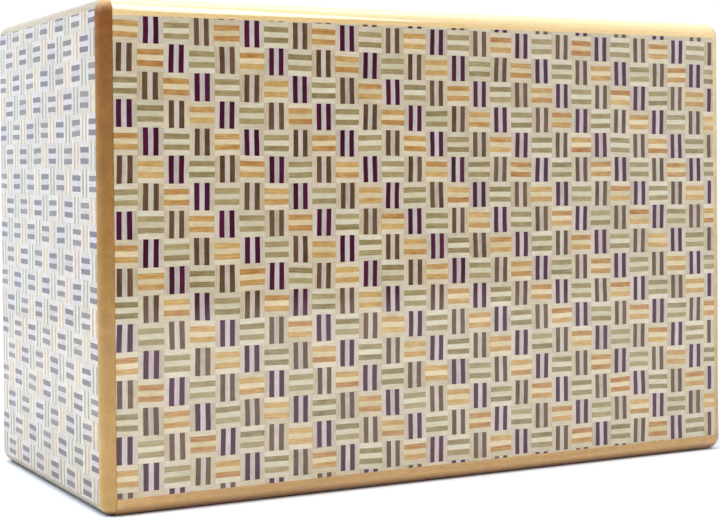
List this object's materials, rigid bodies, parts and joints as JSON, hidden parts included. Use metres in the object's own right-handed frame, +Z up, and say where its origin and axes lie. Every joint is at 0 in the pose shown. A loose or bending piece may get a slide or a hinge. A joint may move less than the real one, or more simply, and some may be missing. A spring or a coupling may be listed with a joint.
{
  "type": "puzzle box",
  "caption": "Wooden sliding-panel puzzle box with basket-weave marquetry faces, rounded plain edges, a sliding lid, base and ends, and hidden key bars that bolt the lid.",
  "frame": {"origin": "on the face the box stands on, under the middle of the closed box", "axes": "+X along the length, the way the lid opens; +Y from the lid to the base; +Z up"},
  "size_m": [0.1516, 0.0724, 0.0995],
  "materials": {
    "marquetry": "clear lacquer, satin gloss",
    "panel_wood": "clear lacquer, satin gloss",
    "end_wood": "clear lacquer, satin gloss",
    "carcass_wood": "planed, bare",
    "rail_wood": "planed, waxed",
    "key_wood": "planed hardwood, waxed"
  },
  "bodies": {
    "case": {"lower_side_veneer": "marquetry", "lower_side_board": "carcass_wood", "lower_side_liner": "carcass_wood", "lower_front_lip": "carcass_wood", "lower_back_lip": "carcass_wood", "upper_side_veneer": "marquetry", "upper_side_board": "carcass_wood", "upper_side_liner": "carcass_wood", "upper_key_blocks": "key_wood", "upper_front_lip": "carcass_wood", "upper_back_lip": "carcass_wood", "left_inner_wall": "carcass_wood", "right_inner_wall": "carcass_wood", "inner_floor": "carcass_wood", "left_lower_guide": "carcass_wood", "left_upper_guide": "carcass_wood", "right_lower_guide": "carcass_wood", "right_upper_guide": "carcass_wood", "left_end_stops": "key_wood", "right_end_stops": "key_wood"},
    "lid": {"lid_panel": "panel_wood", "lid_veneer": "marquetry", "lower_lid_rail": "rail_wood", "upper_lid_rail": "rail_wood", "left_key_batten": "rail_wood", "right_key_batten": "rail_wood", "left_key_cover": "rail_wood", "right_key_cover": "rail_wood"},
    "left_key": {"left_key_bar": "key_wood"},
    "right_key": {"right_key_bar": "key_wood"},
    "base": {"base_panel": "panel_wood", "base_veneer": "marquetry", "lower_base_rail": "rail_wood", "upper_base_rail": "rail_wood"},
    "left_end": {"left_end_panel": "end_wood", "left_end_veneer": "marquetry", "left_end_rail": "rail_wood"},
    "right_end": {"right_end_panel": "end_wood", "right_end_veneer": "marquetry", "right_end_rail": "rail_wood"}
  },
  "joints": [
    {"name": "lid_slide", "type": "slide", "parent": "case", "child": "lid", "axis": [1, 0, 0], "range_m": [0, 0.096]},
    {"name": "base_slide", "type": "slide", "parent": "case", "child": "base", "axis": [-1, 0, 0], "range_m": [0, 0.007]},
    {"name": "left_end_slide", "type": "slide", "parent": "case", "child": "left_end", "axis": [0, -1, 0], "range_m": [0, 0.007]},
    {"name": "right_end_slide", "type": "slide", "parent": "case", "child": "right_end", "axis": [0, 1, 0], "range_m": [0, 0.007]},
    {"name": "left_key_slide", "type": "slide", "parent": "lid", "child": "left_key", "axis": [0, 0, -1], "range_m": [-0.0032, 0]},
    {"name": "right_key_slide", "type": "slide", "parent": "lid", "child": "right_key", "axis": [0, 0, -1], "range_m": [-0.0032, 0]}
  ]
}
